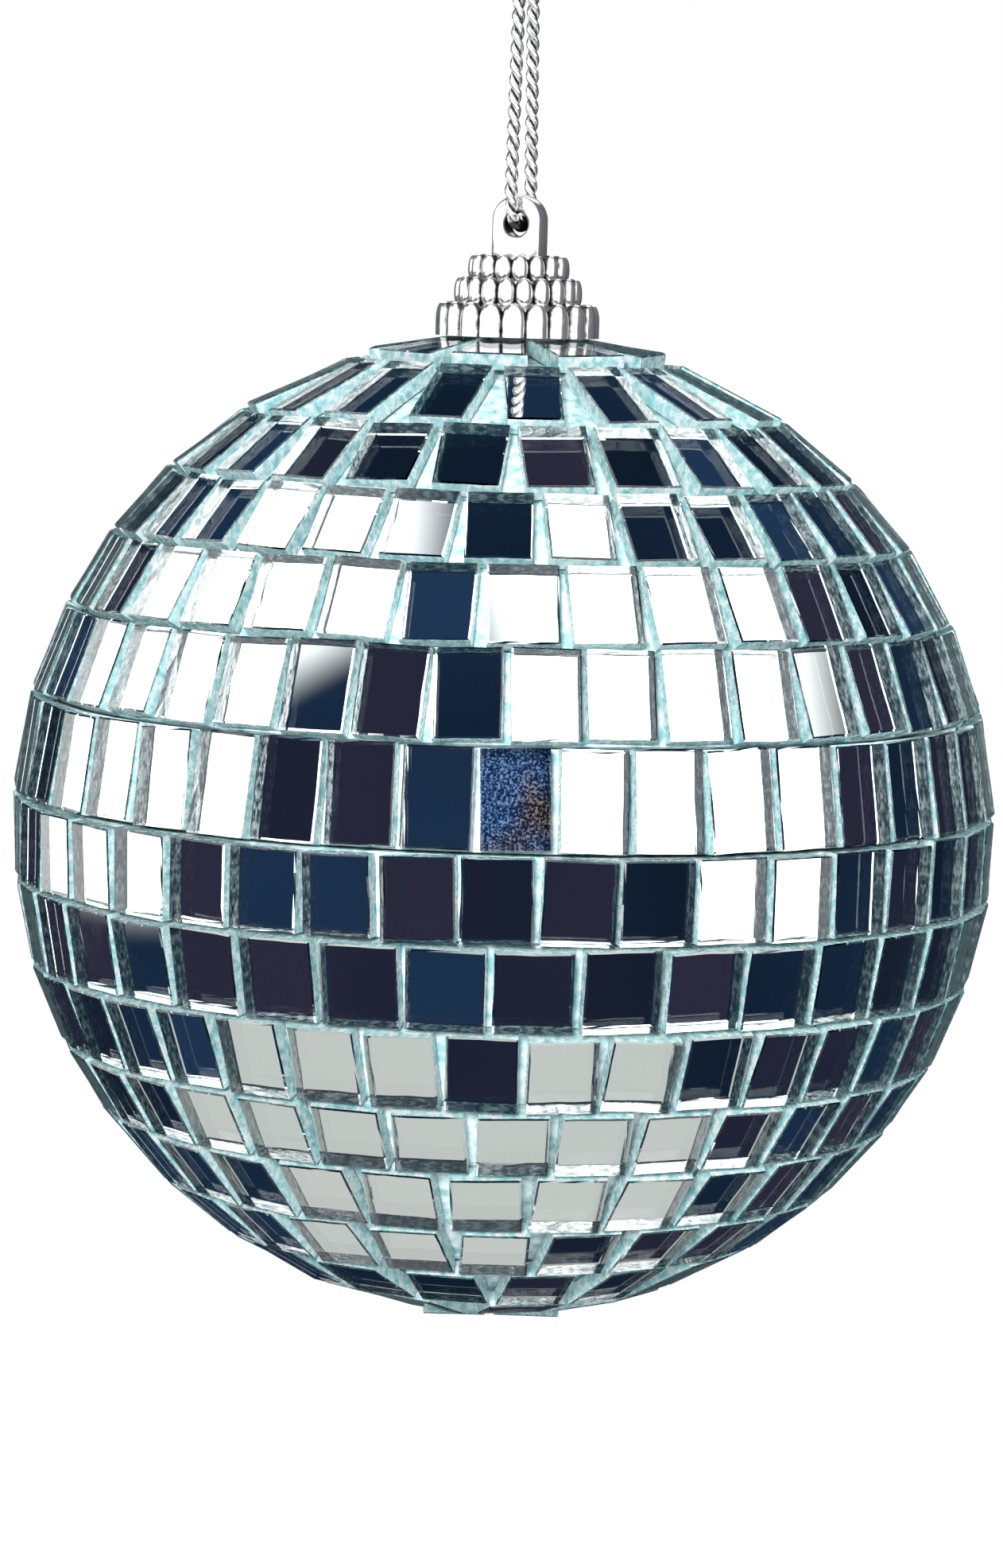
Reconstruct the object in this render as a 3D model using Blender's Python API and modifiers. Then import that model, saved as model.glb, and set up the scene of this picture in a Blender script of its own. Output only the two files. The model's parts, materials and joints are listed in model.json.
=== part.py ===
"""Mirror ball: a foam ball clad in rows of glass mirror tiles, hung by a silver cap and a looped cord.

Metres, +Z up. The origin is the seat of the hook, inside the cord's loop just under its knot. The ball's
axis is Z, and the cap's eyelet runs along Y.
"""

import math

import bmesh
import bpy
from mathutils import Matrix, Vector

MM = 0.001
WELD = 0.001 * MM

# Facets round a turned piece and round a small pin or hole
ROUND_SIDES = 24
PIN_SIDES = 16

# Heights above the ball's centre
HOOK_SEAT = 54.5 * MM
EYELET = 30.85 * MM

# Ball and tiles
BALL_RADIUS = 25.4 * MM  # over the tile corners: a 2 inch ball
TILE_FRONT = 25.25 * MM  # from the ball's centre to the middle of a tile's face
TILE_THICKNESS = 1.25 * MM
TILE_GAP = 0.25 * MM  # least gap between neighbours in a row
POLAR_TILE_WIDTH = 4.0 * MM  # wide edge of the nipped tiles in the first and last row
TILE_INSET = 0.1 * MM  # from the backing's edge to the tile's
ROW_GAP = 0.3 * MM  # gap between the backings of two rows
BACKING_INNER = 23.7 * MM
BACKING_OUTER = 24.2 * MM
CORE_RADIUS = 23.4 * MM

# Rows from the top: latitude of the upper edge in degrees, number of tiles, and the angle of one joint,
# in degrees anticlockwise from the front (-Y) as seen from above
ROWS = (
    (83, 9, 31),
    (71, 17, 15),
    (57, 24, 21),
    (46, 31, 25),
    (36, 34, 28),
    (26, 40, 21),
    (15, 42, 18),
    (3, 41, 25),
    (-7, 37, 20),
    (-17, 38, 24),
    (-27, 34, 18),
    (-36, 29, 26),
    (-46, 24, 29),
    (-56, 17, 21),
    (-67, 9, 12),
)
LAST_EDGE = -78

# Patch of four tiles on the underside
PATCH_TILE = 3.3 * MM
PATCH_GAP = 0.4 * MM
PATCH_BACKING_RADIUS = 4.7 * MM

# Cap: for each tier, its radius over the petals, its top, and its number of petals
CAP_FOOT = 25.45 * MM
CAP_TIERS = (
    (4.2 * MM, 27.0 * MM, 20),
    (3.3 * MM, 28.3 * MM, 20),
    (2.6 * MM, 29.35 * MM, 16),
)
PETAL_POINTS = 4
PETAL_DEPTH = 0.3 * MM
PETAL_ROUNDING = 0.2 * MM
TIER_OVERLAP = 0.25 * MM
TAB_WIDTH = 2.65 * MM
TAB_THICKNESS = 1.4 * MM
TAB_TOP = 32.35 * MM
EYELET_RADIUS = 0.7 * MM
PEG_RADIUS = 1.5 * MM
PEG_END = 17.0 * MM
SOCKET_RADIUS = 1.8 * MM
SOCKET_END = 16.6 * MM

# Ring of glue round the peg
GLUE_INNER = 1.8 * MM
GLUE_OUTER = 2.8 * MM
GLUE_BOTTOM = 23.75 * MM
GLUE_TOP = 25.1 * MM

# Cord: one strand's route as (distance from the axis, height above the ball's centre), from the middle of
# the eyelet up to the knot. The other strand mirrors it.
CORD_DIAMETER = 0.68 * MM
STRAND_ROUTE = (
    (0.00 * MM, 30.78 * MM),
    (0.55 * MM, 30.88 * MM),
    (1.05 * MM, 31.24 * MM),
    (1.34 * MM, 31.80 * MM),
    (1.40 * MM, 32.60 * MM),
    (1.33 * MM, 34.50 * MM),
    (1.21 * MM, 37.50 * MM),
    (1.06 * MM, 41.00 * MM),
    (0.89 * MM, 45.00 * MM),
    (0.72 * MM, 49.00 * MM),
    (0.58 * MM, 52.50 * MM),
    (0.48 * MM, 55.00 * MM),
)
STRAND_STEPS = 3  # points read from the smooth curve between two of the route's points

# Knot and its two tails
KNOT_BOTTOM = 55.3 * MM
KNOT_HEIGHT = 2.8 * MM
KNOT_RADIUS = 1.15 * MM
TAIL_LENGTH = 4.2 * MM
TAIL_SPLAY = 14


def clear_scene():
    for obj in list(bpy.data.objects):
        bpy.data.objects.remove(obj, do_unlink=True)


def new_collection(name):
    collection = bpy.data.collections.new(name)
    bpy.context.scene.collection.children.link(collection)
    return collection


def new_material(name, color, roughness, metallic):
    material = bpy.data.materials.new(name)
    material.use_nodes = True
    shader = material.node_tree.nodes["Principled BSDF"]
    shader.inputs["Base Color"].default_value = (*color, 1)
    shader.inputs["Roughness"].default_value = roughness
    shader.inputs["Metallic"].default_value = metallic
    return material


clear_scene()
PARTS = new_collection("mirror_ball")
TOOLS = new_collection("mirror_ball_tools")
TOOLS.hide_render = True

FOAM = new_material("foam", (0.9, 0.9, 0.88), 0.9, 0.0)
MIRROR = new_material("mirror_glass", (0.86, 0.92, 0.92), 0.03, 1.0)
SILVER = new_material("silver_cap", (0.92, 0.92, 0.9), 0.12, 1.0)
GLUE = new_material("glue", (0.85, 0.8, 0.62), 0.4, 0.0)
CORD = new_material("silver_cord", (0.78, 0.78, 0.77), 0.35, 0.6)


def new_axis(name, height, parent=None):
    """An empty on a joint's axis, at a height above the ball's centre."""
    empty = bpy.data.objects.new(name, None)
    empty.parent = parent
    empty.location.z = height - (HOOK_SEAT if parent is None else HOOK_SEAT + parent.location.z)
    PARTS.objects.link(empty)
    return empty


TWIST_AXIS = new_axis("cord_twist_axis", HOOK_SEAT)
SWING_AXIS = new_axis("ball_swing_axis", EYELET, TWIST_AXIS)


def add_part(name, data, material, axis, turn=0.0):
    """A part drawn from the ball's centre, held by the empty on the axis that it moves about."""
    obj = bpy.data.objects.new(name, data)
    obj.parent = axis
    height = 0.0
    while axis is not None:
        height += axis.location.z
        axis = axis.parent
    obj.location.z = -HOOK_SEAT - height
    obj.rotation_euler.z = turn
    data.materials.append(material)
    PARTS.objects.link(obj)
    return obj


def add_tool(name, data, like):
    """A cutter or a second half of a union, placed as the part that it works on."""
    obj = bpy.data.objects.new(name, data)
    obj.parent = like.parent
    obj.location = like.location
    obj.rotation_euler = like.rotation_euler
    obj.display_type = "WIRE"
    obj.hide_render = True
    TOOLS.objects.link(obj)
    return obj


def combine(part, operation, tool):
    modifier = part.modifiers.new(operation.lower(), "BOOLEAN")
    modifier.operation = operation
    modifier.object = tool


def mesh_from(bm, name):
    mesh = bpy.data.meshes.new(name)
    bm.to_mesh(mesh)
    bm.free()
    return mesh


def mesh_of_curve(curve, place=None):
    """The closed mesh of a filled curve, with its loose caps welded, put in its place."""
    guide = bpy.data.objects.new(curve.name, curve)
    bpy.context.scene.collection.objects.link(guide)
    bpy.context.view_layer.update()
    mesh = bpy.data.meshes.new_from_object(guide.evaluated_get(bpy.context.evaluated_depsgraph_get()))
    bpy.data.objects.remove(guide, do_unlink=True)
    bm = bmesh.new()
    bm.from_mesh(mesh)
    bmesh.ops.remove_doubles(bm, verts=bm.verts, dist=WELD)
    if place is not None:
        bmesh.ops.transform(bm, matrix=place, verts=bm.verts)
    bm.to_mesh(mesh)
    bm.free()
    return mesh


def flat_outline(name, loops, half_thickness):
    """A flat curve of closed loops, filled and given thickness. An inner loop is a hole."""
    curve = bpy.data.curves.new(name, "CURVE")
    curve.dimensions = "2D"
    curve.fill_mode = "BOTH"
    curve.extrude = half_thickness
    for loop in loops:
        spline = curve.splines.new("POLY")
        spline.points.add(len(loop) - 1)
        for point, (x, y) in zip(spline.points, loop):
            point.co = (x, y, 0, 1)
        spline.use_cyclic_u = True
    return curve


def turned(name, profile, steps, material, axis, turn=0.0):
    """A closed profile of (radius, height), outer side first and running down, turned about the axis."""
    mesh = bpy.data.meshes.new(name)
    count = len(profile)
    edges = [(i, (i + 1) % count) for i in range(count)]
    mesh.from_pydata([(radius, 0, height) for radius, height in profile], edges, [])
    obj = add_part(name, mesh, material, axis, turn)
    screw = obj.modifiers.new("turn", "SCREW")
    screw.steps = steps
    screw.render_steps = steps
    screw.use_merge_vertices = True
    screw.merge_threshold = WELD
    screw.use_smooth_shade = False
    return obj


def cylinder_mesh(name, radius, low, high, sides):
    bm = bmesh.new()
    place = Matrix.Translation((0, 0, (low + high) / 2))
    bmesh.ops.create_cone(
        bm, cap_ends=True, segments=sides, radius1=radius, radius2=radius, depth=high - low, matrix=place
    )
    return mesh_from(bm, name)


def add_tile(bm, wide, narrow, height, front, narrow_side, place):
    """A flat tile in its own axes: X along the row, Y outwards, Z uphill. One edge may be nipped narrower."""
    size = Matrix.Diagonal((wide, TILE_THICKNESS, height, 1))
    verts = bmesh.ops.create_cube(bm, size=1, matrix=size)["verts"]
    for vert in verts:
        if vert.co.z * narrow_side > 0:
            vert.co.x *= narrow / wide
        vert.co.y += front - TILE_THICKNESS / 2
    bmesh.ops.transform(bm, matrix=place, verts=verts)


def tile_row(name, upper, lower, count, joint_angle, wide=None):
    """A strip: a turned backing with one flat facet or more for each tile, and the tiles joined to it.

    The tiles fill the row but for the gap, and are rectangles unless a wide edge is given.
    """
    tilt = math.radians((upper + lower) / 2)
    half_span = math.radians((upper - lower) / 2)
    half_height = BACKING_INNER * math.tan(half_span) - ROW_GAP / 2
    outward = Vector((math.cos(tilt), math.sin(tilt)))
    uphill = Vector((-math.sin(tilt), math.cos(tilt)))

    steps = count * math.ceil(ROUND_SIDES / count)
    to_corner = 1 / math.cos(math.pi / steps)
    corners = ((BACKING_OUTER, 1), (BACKING_OUTER, -1), (BACKING_INNER, -1), (BACKING_INNER, 1))
    profile = []
    for distance, side in corners:
        radius, height = outward * distance + uphill * half_height * side
        profile.append((radius * to_corner, height))
    turn = math.radians(joint_angle - 90)
    row = turned(name, profile, steps, MIRROR, SWING_AXIS, turn)

    narrow_side = 1 if tilt > 0 else -1
    half_tile = half_height - TILE_INSET
    back = TILE_FRONT - TILE_THICKNESS
    narrow_radius = (outward * back + uphill * half_tile * narrow_side).x
    narrow = 2 * math.pi * narrow_radius / count - TILE_GAP
    axes = Matrix(
        ((0, outward.x, uphill.x, 0), (-1, 0, 0, 0), (0, outward.y, uphill.y, 0), (0, 0, 0, 1))
    )
    bm = bmesh.new()
    for tile in range(count):
        place = Matrix.Rotation((tile + 0.5) * 2 * math.pi / count, 4, "Z") @ axes
        add_tile(bm, wide or narrow, narrow, 2 * half_tile, TILE_FRONT, narrow_side, place)
    combine(row, "UNION", add_tool(name + "_tiles", mesh_from(bm, name + "_tiles"), row))
    return row


def tile_rows():
    lower_edges = [row[0] for row in ROWS[1:]] + [LAST_EDGE]
    for number, ((upper, count, joint_angle), lower) in enumerate(zip(ROWS, lower_edges), 1):
        wide = POLAR_TILE_WIDTH if number in (1, len(ROWS)) else None
        tile_row(f"tile_row_{number:02d}", upper, lower, count, joint_angle, wide)


def pole_patch():
    """Four tiles on a round backing, flat on the underside."""
    name = "pole_patch"
    backing = cylinder_mesh(name, PATCH_BACKING_RADIUS, -BACKING_OUTER, -BACKING_INNER, ROUND_SIDES)
    patch = add_part(name, backing, MIRROR, SWING_AXIS)
    bm = bmesh.new()
    centre = (PATCH_TILE + PATCH_GAP) / 2
    face_down = Matrix.Rotation(math.radians(-90), 4, "X")
    for x in (-centre, centre):
        for y in (-centre, centre):
            place = Matrix.Translation((x, y, 0)) @ face_down
            add_tile(bm, PATCH_TILE, PATCH_TILE, PATCH_TILE, TILE_FRONT, 1, place)
    combine(patch, "UNION", add_tool(name + "_tiles", mesh_from(bm, name + "_tiles"), patch))


def foam_core():
    bm = bmesh.new()
    bmesh.ops.create_uvsphere(bm, u_segments=ROUND_SIDES, v_segments=ROUND_SIDES // 2, radius=CORE_RADIUS)
    core = add_part("foam_core", mesh_from(bm, "foam_core"), FOAM, SWING_AXIS)
    socket = cylinder_mesh("foam_core_socket", SOCKET_RADIUS, SOCKET_END, BALL_RADIUS, PIN_SIDES)
    combine(core, "DIFFERENCE", add_tool("foam_core_socket", socket, core))


def petal_loop(radius, petals, half_turn):
    """A scalloped ring: each petal is a shallow arc between two notches."""
    points = []
    for petal in range(petals):
        for step in range(PETAL_POINTS):
            share = step / PETAL_POINTS
            angle = (petal + share + half_turn / 2) * 2 * math.pi / petals
            reach = radius - PETAL_DEPTH * (1 - math.sin(math.pi * share))
            points.append((reach * math.cos(angle), reach * math.sin(angle)))
    return points


def petal_tier(name, radius, bottom, top, petals, half_turn):
    """A scalloped disc, drawn in a little at its foot and at its shoulder."""
    inset = 1 - PETAL_ROUNDING / radius
    bm = bmesh.new()
    loop = petal_loop(radius, petals, half_turn)
    face = bm.faces.new([bm.verts.new((x * inset, y * inset, bottom)) for x, y in loop])
    rings = ((bottom + PETAL_ROUNDING, 1 / inset), (top - PETAL_ROUNDING, 1), (top, inset))
    for number, (height, scale) in enumerate(rings):
        made = bmesh.ops.extrude_face_region(bm, geom=[face])
        if number:
            bm.faces.remove(face)
        ring = [item for item in made["geom"] if isinstance(item, bmesh.types.BMVert)]
        bmesh.ops.scale(bm, vec=(scale, scale, 1), verts=ring)
        for vert in ring:
            vert.co.z = height
        face = next(item for item in made["geom"] if isinstance(item, bmesh.types.BMFace))
    bmesh.ops.recalc_face_normals(bm, faces=bm.faces)
    return mesh_from(bm, name)


def tab_loops():
    """The tab's arched outline and its eyelet, in the tab's own plane with the eyelet at the centre."""
    half = TAB_WIDTH / 2
    foot = CAP_TIERS[-1][1] - TIER_OVERLAP - EYELET
    arch_centre = TAB_TOP - half - EYELET
    outline = [(-half, foot), (half, foot)]
    for step in range(ROUND_SIDES // 2 + 1):
        angle = 2 * math.pi * step / ROUND_SIDES
        outline.append((half * math.cos(angle), arch_centre + half * math.sin(angle)))
    hole = []
    for step in range(PIN_SIDES):
        angle = 2 * math.pi * step / PIN_SIDES
        hole.append((EYELET_RADIUS * math.cos(angle), EYELET_RADIUS * math.sin(angle)))
    return [outline, hole]


def cap():
    """One moulding: a peg, three scalloped tiers, and the tab with its eyelet."""
    peg = cylinder_mesh("cap", PEG_RADIUS, PEG_END, CAP_FOOT + TIER_OVERLAP, PIN_SIDES)
    cap_part = add_part("cap", peg, SILVER, SWING_AXIS)
    bottom = CAP_FOOT
    for number, (radius, top, petals) in enumerate(CAP_TIERS):
        tier = petal_tier(f"cap_tier_{number}", radius, bottom, top, petals, number % 2)
        combine(cap_part, "UNION", add_tool(tier.name, tier, cap_part))
        bottom = top - TIER_OVERLAP
    upright = Matrix.Translation((0, 0, EYELET)) @ Matrix.Rotation(math.radians(90), 4, "X")
    curve = flat_outline("cap_tab", tab_loops(), TAB_THICKNESS / 2)
    combine(cap_part, "UNION", add_tool(curve.name, mesh_of_curve(curve, upright), cap_part))


def cap_glue_ring():
    profile = (
        (GLUE_OUTER, GLUE_TOP),
        (GLUE_OUTER, GLUE_BOTTOM),
        (GLUE_INNER, GLUE_BOTTOM),
        (GLUE_INNER, GLUE_TOP),
    )
    turned("cap_glue_ring", profile, ROUND_SIDES, GLUE, SWING_AXIS)


def smooth_route(points, steps):
    """Points on the smooth curve that passes through all of the route's points."""
    found = []
    for index in range(len(points) - 1):
        start, end = points[index], points[index + 1]
        before = points[max(index - 1, 0)]
        after = points[min(index + 2, len(points) - 1)]
        for step in range(steps):
            t = step / steps
            lift = (end - before) * t + (2 * before - 5 * start + 4 * end - after) * t * t
            bend = (3 * start - before - 3 * end + after) * t * t * t
            found.append(start + (lift + bend) / 2)
    found.append(points[-1])
    return found


def tube(name, points, diameter):
    curve = bpy.data.curves.new(name, "CURVE")
    curve.dimensions = "3D"
    curve.bevel_depth = diameter / 2
    curve.bevel_resolution = 2
    curve.use_fill_caps = True
    spline = curve.splines.new("POLY")
    spline.points.add(len(points) - 1)
    for place, point in zip(spline.points, points):
        place.co = (*point, 1)
    return curve


def hanging_cord():
    """The loop's two strands and the bend through the eyelet: down in front, through, and up behind."""
    front = [Vector((0, -out, height)) for out, height in reversed(STRAND_ROUTE)]
    behind = [Vector((0, out, height)) for out, height in STRAND_ROUTE[1:]]
    curve = tube("hanging_cord", smooth_route(front + behind, STRAND_STEPS), CORD_DIAMETER)
    add_part("hanging_cord", curve, CORD, TWIST_AXIS)


def cord_knot():
    """The overhand knot that closes the loop, as one lump with the cord's two cut ends."""
    middle = KNOT_BOTTOM + KNOT_HEIGHT / 2
    bm = bmesh.new()
    shape = Matrix.Translation((0, 0, middle)) @ Matrix.Diagonal((1, 1, KNOT_HEIGHT / 2 / KNOT_RADIUS, 1))
    bmesh.ops.create_uvsphere(
        bm, u_segments=PIN_SIDES, v_segments=PIN_SIDES // 2, radius=KNOT_RADIUS, matrix=shape
    )
    knot = add_part("cord_knot", mesh_from(bm, "cord_knot"), CORD, None)
    for side in (-1, 1):
        lean = math.radians(TAIL_SPLAY) * side
        end = Vector((0, math.sin(lean), math.cos(lean))) * TAIL_LENGTH
        root = Vector((0, side * CORD_DIAMETER / 2, middle))
        name = f"cord_tail_{'front' if side < 0 else 'back'}"
        mesh = mesh_of_curve(tube(name, [root, root + end], CORD_DIAMETER))
        combine(knot, "UNION", add_tool(name, mesh, knot))


foam_core()
tile_rows()
pole_patch()
cap()
cap_glue_ring()
hanging_cord()
cord_knot()
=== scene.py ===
# %% [markdown]
# # A mirror ball
#
# The real ball is a foam sphere wrapped in strips of small glass mirrors. A silver moulded cap is glued into
# its top, and a thin twisted cord runs through the cap's eyelet up to a knot. This lesson dresses the packed
# CAD model, which is the fixed frame: every piece is made where its CAD solid already is.

import json
import math

import bmesh
import bpy
from mathutils import Matrix, Vector

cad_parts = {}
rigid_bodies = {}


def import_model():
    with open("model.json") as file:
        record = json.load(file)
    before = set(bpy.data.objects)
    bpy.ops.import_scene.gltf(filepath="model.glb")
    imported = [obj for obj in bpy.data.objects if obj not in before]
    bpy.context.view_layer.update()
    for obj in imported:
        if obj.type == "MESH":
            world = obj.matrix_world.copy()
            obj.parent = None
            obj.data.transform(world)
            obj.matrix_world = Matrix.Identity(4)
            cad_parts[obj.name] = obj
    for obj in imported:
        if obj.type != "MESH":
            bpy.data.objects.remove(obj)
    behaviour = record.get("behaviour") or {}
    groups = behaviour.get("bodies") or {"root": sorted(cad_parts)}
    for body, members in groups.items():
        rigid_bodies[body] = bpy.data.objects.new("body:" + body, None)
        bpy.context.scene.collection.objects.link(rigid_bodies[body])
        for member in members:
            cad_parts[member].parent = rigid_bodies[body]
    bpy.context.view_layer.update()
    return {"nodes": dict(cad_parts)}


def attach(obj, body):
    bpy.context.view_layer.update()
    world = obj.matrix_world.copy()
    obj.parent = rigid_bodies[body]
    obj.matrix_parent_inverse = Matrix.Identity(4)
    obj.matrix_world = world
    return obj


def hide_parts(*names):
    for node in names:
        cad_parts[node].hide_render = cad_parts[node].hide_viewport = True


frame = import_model()
scene = bpy.context.scene

# %% [markdown]
# The ball's heights are easiest to think about from its own centre, but the frame's origin is higher up, where
# a hook takes the cord. `from_centre` moves a height from the one to the other.

# %% Sizes of the ball
MM = 0.001
HOOK_SEAT = 54.5 * MM
BALL_RADIUS = 25.4 * MM
BALL_CENTRE = Vector((0, 0, -HOOK_SEAT))


def from_centre(x, y, height):
    """A point given from the ball's centre, in the frame."""
    return Vector((x, y, height - HOOK_SEAT))


print("ball centre at", tuple(BALL_CENTRE))

# %% [markdown]
# ## Camera
#
# The camera comes first, because everything after it is made for the photograph's view. It stands ten ball
# radii away and a little above, and looks at the cap's tab from its right. The ball hangs with a slight lean,
# which the camera takes as roll. It aims a little above the ball's centre, so no lens shift is needed.

# %% Camera at the photograph's angle
IMAGE_HEIGHT = 1972
FOCAL_PIXELS = 6165
CAMERA_DISTANCE = 10 * BALL_RADIUS
CAMERA_AZIMUTH = math.radians(21)
CAMERA_ELEVATION = math.radians(6.5)
CAMERA_ROLL = math.radians(1.6)
AIM_UP = 2.04 * MM
AIM_LEFT = 0.10 * MM
SENSOR = 36

to_camera = Vector((
    math.sin(CAMERA_AZIMUTH) * math.cos(CAMERA_ELEVATION),
    -math.cos(CAMERA_AZIMUTH) * math.cos(CAMERA_ELEVATION),
    math.sin(CAMERA_ELEVATION),
))
level_right = (-to_camera).cross(Vector((0, 0, 1))).normalized()
level_up = level_right.cross(-to_camera)
image_right = level_right * math.cos(CAMERA_ROLL) + level_up * math.sin(CAMERA_ROLL)
image_up = image_right.cross(-to_camera)

camera_data = bpy.data.cameras.new("camera")
camera_data.sensor_width = SENSOR
camera_data.lens = SENSOR * FOCAL_PIXELS / IMAGE_HEIGHT
camera_data.clip_start = 0.01
camera = bpy.data.objects.new("camera", camera_data)
scene.collection.objects.link(camera)
scene.camera = camera
camera_place = BALL_CENTRE + to_camera * CAMERA_DISTANCE
aim = BALL_CENTRE + image_up * AIM_UP - image_right * AIM_LEFT
forward = (aim - camera_place).normalized()
right = (image_right - forward * image_right.dot(forward)).normalized()
turn = Matrix((right, right.cross(forward), -forward)).transposed()
camera.matrix_world = Matrix.Translation(camera_place) @ turn.to_4x4()
print("camera at", tuple(round(x, 4) for x in camera_place), "lens", round(camera_data.lens, 1))

# %% [markdown]
# ## Helpers for node trees
#
# Both Geometry Nodes and materials are built in code here. `add_node` makes a node and either sets an input or
# joins it to another node's output. `run_tree` gives a tree its named inputs, runs it once and keeps the result
# as a plain mesh, because the exported model can't hold a live tree.


# %% Node helpers
def add_node(tree, kind, inputs=None, **settings):
    """A node with its settings; each input is a value, or a socket that it is joined to."""
    node = tree.nodes.new(kind)
    for name, value in settings.items():
        setattr(node, name, value)
    for name, value in (inputs or {}).items():
        if isinstance(value, bpy.types.NodeSocket):
            tree.links.new(value, node.inputs[name])
        else:
            node.inputs[name].default_value = value
    return node


def calc(tree, operation, *values):
    """One step of arithmetic, as a socket."""
    return add_node(tree, "ShaderNodeMath", dict(enumerate(values)), operation=operation).outputs[0]


def calc_vector(tree, operation, *values):
    """One step of vector arithmetic, as a socket."""
    node = add_node(tree, "ShaderNodeVectorMath", operation=operation)
    for place, value in enumerate(values):
        socket = node.inputs["Scale"] if operation == "SCALE" and place == 1 else node.inputs[place]
        if isinstance(value, bpy.types.NodeSocket):
            tree.links.new(value, socket)
        else:
            socket.default_value = value
    return node.outputs[0]


def start_tree(name, inputs):
    """A Geometry Nodes tree with named inputs: (name, kind) pairs, and its input node."""
    tree = bpy.data.node_groups.new(name, "GeometryNodeTree")
    tree.interface.new_socket("Geometry", in_out="INPUT", socket_type="NodeSocketGeometry")
    for label, kind in inputs:
        tree.interface.new_socket(label, in_out="INPUT", socket_type="NodeSocket" + kind)
    tree.interface.new_socket("Geometry", in_out="OUTPUT", socket_type="NodeSocketGeometry")
    return tree, add_node(tree, "NodeGroupInput").outputs


def store(tree, geometry, name, value, kind="FLOAT"):
    """The geometry, with a value kept at each of its points under a name."""
    return add_node(tree, "GeometryNodeStoreNamedAttribute", {
        "Geometry": geometry, "Name": name, "Value": value,
    }, data_type=kind, domain="POINT").outputs[0]


def stored(tree, name, kind):
    """A value that the geometry carries under a name, as a socket."""
    node = add_node(tree, "GeometryNodeInputNamedAttribute", {"Name": name}, data_type=kind)
    return node.outputs["Attribute"]


def realize(tree, geometry):
    """The geometry, with its instances made real."""
    return add_node(tree, "GeometryNodeRealizeInstances", {"Geometry": geometry}).outputs[0]


def end_tree(tree, geometry):
    add_node(tree, "NodeGroupOutput", {"Geometry": geometry})


def link_piece(name, mesh):
    piece = bpy.data.objects.new(name, mesh)
    scene.collection.objects.link(piece)
    return piece


def run_tree(name, mesh, tree, **values):
    """Runs the tree on a mesh and keeps what it makes as a plain mesh object."""
    worker = link_piece(name + "_worker", mesh)
    modifier = worker.modifiers.new(tree.name, "NODES")
    modifier.node_group = tree
    for item in tree.interface.items_tree:
        if item.in_out == "INPUT" and item.name in values:
            modifier[item.identifier] = values[item.name]
    bpy.context.view_layer.update()
    made = bpy.data.meshes.new_from_object(worker.evaluated_get(bpy.context.evaluated_depsgraph_get()))
    bpy.data.objects.remove(worker, do_unlink=True)
    made.name = name
    return link_piece(name, made)


def mesh_from(bm, name):
    mesh = bpy.data.meshes.new(name)
    bm.to_mesh(mesh)
    bm.free()
    return mesh


# %% [markdown]
# A material starts the same way each time: one Principled shader, with its plain numbers set on its own
# sockets. The nodes that vary over the surface are added after it.


# %% Material helper
def start_material(name, **sockets):
    """A material's tree and its Principled shader, with plain values set by socket name."""
    material = bpy.data.materials.new(name)
    material.use_nodes = True
    shader = material.node_tree.nodes["Principled BSDF"]
    for label, value in sockets.items():
        shader.inputs[label.replace("_", " ")].default_value = value
    return material, material.node_tree, shader


def between(tree, value, low, high):
    """A value from 0 to 1 taken to a range of its own."""
    return add_node(tree, "ShaderNodeMapRange", {"Value": value, "To Min": low, "To Max": high}).outputs[0]


def ramp(tree, value, *stops):
    """A colour ramp of (position, colour) stops, as a socket."""
    node = add_node(tree, "ShaderNodeValToRGB", {"Fac": value})
    elements = node.color_ramp.elements
    while len(elements) < len(stops):
        elements.new(1.0)
    for element, (position, color) in zip(elements, stops):
        element.position = position
        element.color = (*color, 1)
    return node.outputs[0]


def mix_colors(tree, share, first, second):
    """Two colours mixed by a share from 0 to 1, as a socket."""
    colors = {"Factor": share, 6: first, 7: second}
    return add_node(tree, "ShaderNodeMix", colors, data_type="RGBA").outputs[2]


def add_relief(tree, shader, height, strength, depth):
    """Fine relief, joined to the shader's Normal."""
    bump = add_node(tree, "ShaderNodeBump", {"Strength": strength, "Distance": depth, "Height": height})
    tree.links.new(bump.outputs[0], shader.inputs["Normal"])


# %% [markdown]
# Nearly every finish here has some fine unevenness: smudges on glass, flecks on silver, mottling in glue. That
# is one effect at different scales, so it is built once as a shader node group. Each material places the group
# with its own scale, and with the lowest and highest noise that it takes as 0 and 1.

# %% Shared grain
grain_group = bpy.data.node_groups.new("surface_grain", "ShaderNodeTree")
for label in ("Scale", "Detail", "Lowest", "Highest"):
    grain_group.interface.new_socket(label, in_out="INPUT", socket_type="NodeSocketFloat")
grain_group.interface.new_socket("Grain", in_out="OUTPUT", socket_type="NodeSocketFloat")
given = add_node(grain_group, "NodeGroupInput").outputs
noise = add_node(grain_group, "ShaderNodeTexNoise", {
    "Vector": add_node(grain_group, "ShaderNodeTexCoord").outputs["Object"],
    "Scale": given["Scale"], "Detail": given["Detail"],
}).outputs["Fac"]
add_node(grain_group, "NodeGroupOutput", {"Grain": add_node(grain_group, "ShaderNodeMapRange", {
    "Value": noise, "From Min": given["Lowest"], "From Max": given["Highest"],
}).outputs[0]})


def grain(tree, scale, detail=2.0, lowest=0.3, highest=0.7):
    """The grain group, placed in a material, as a socket from 0 to 1."""
    return add_node(tree, "ShaderNodeGroup", {
        "Scale": scale, "Detail": detail, "Lowest": lowest, "Highest": highest,
    }, node_tree=grain_group).outputs["Grain"]


print("grain group has", len(grain_group.nodes), "nodes")

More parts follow.
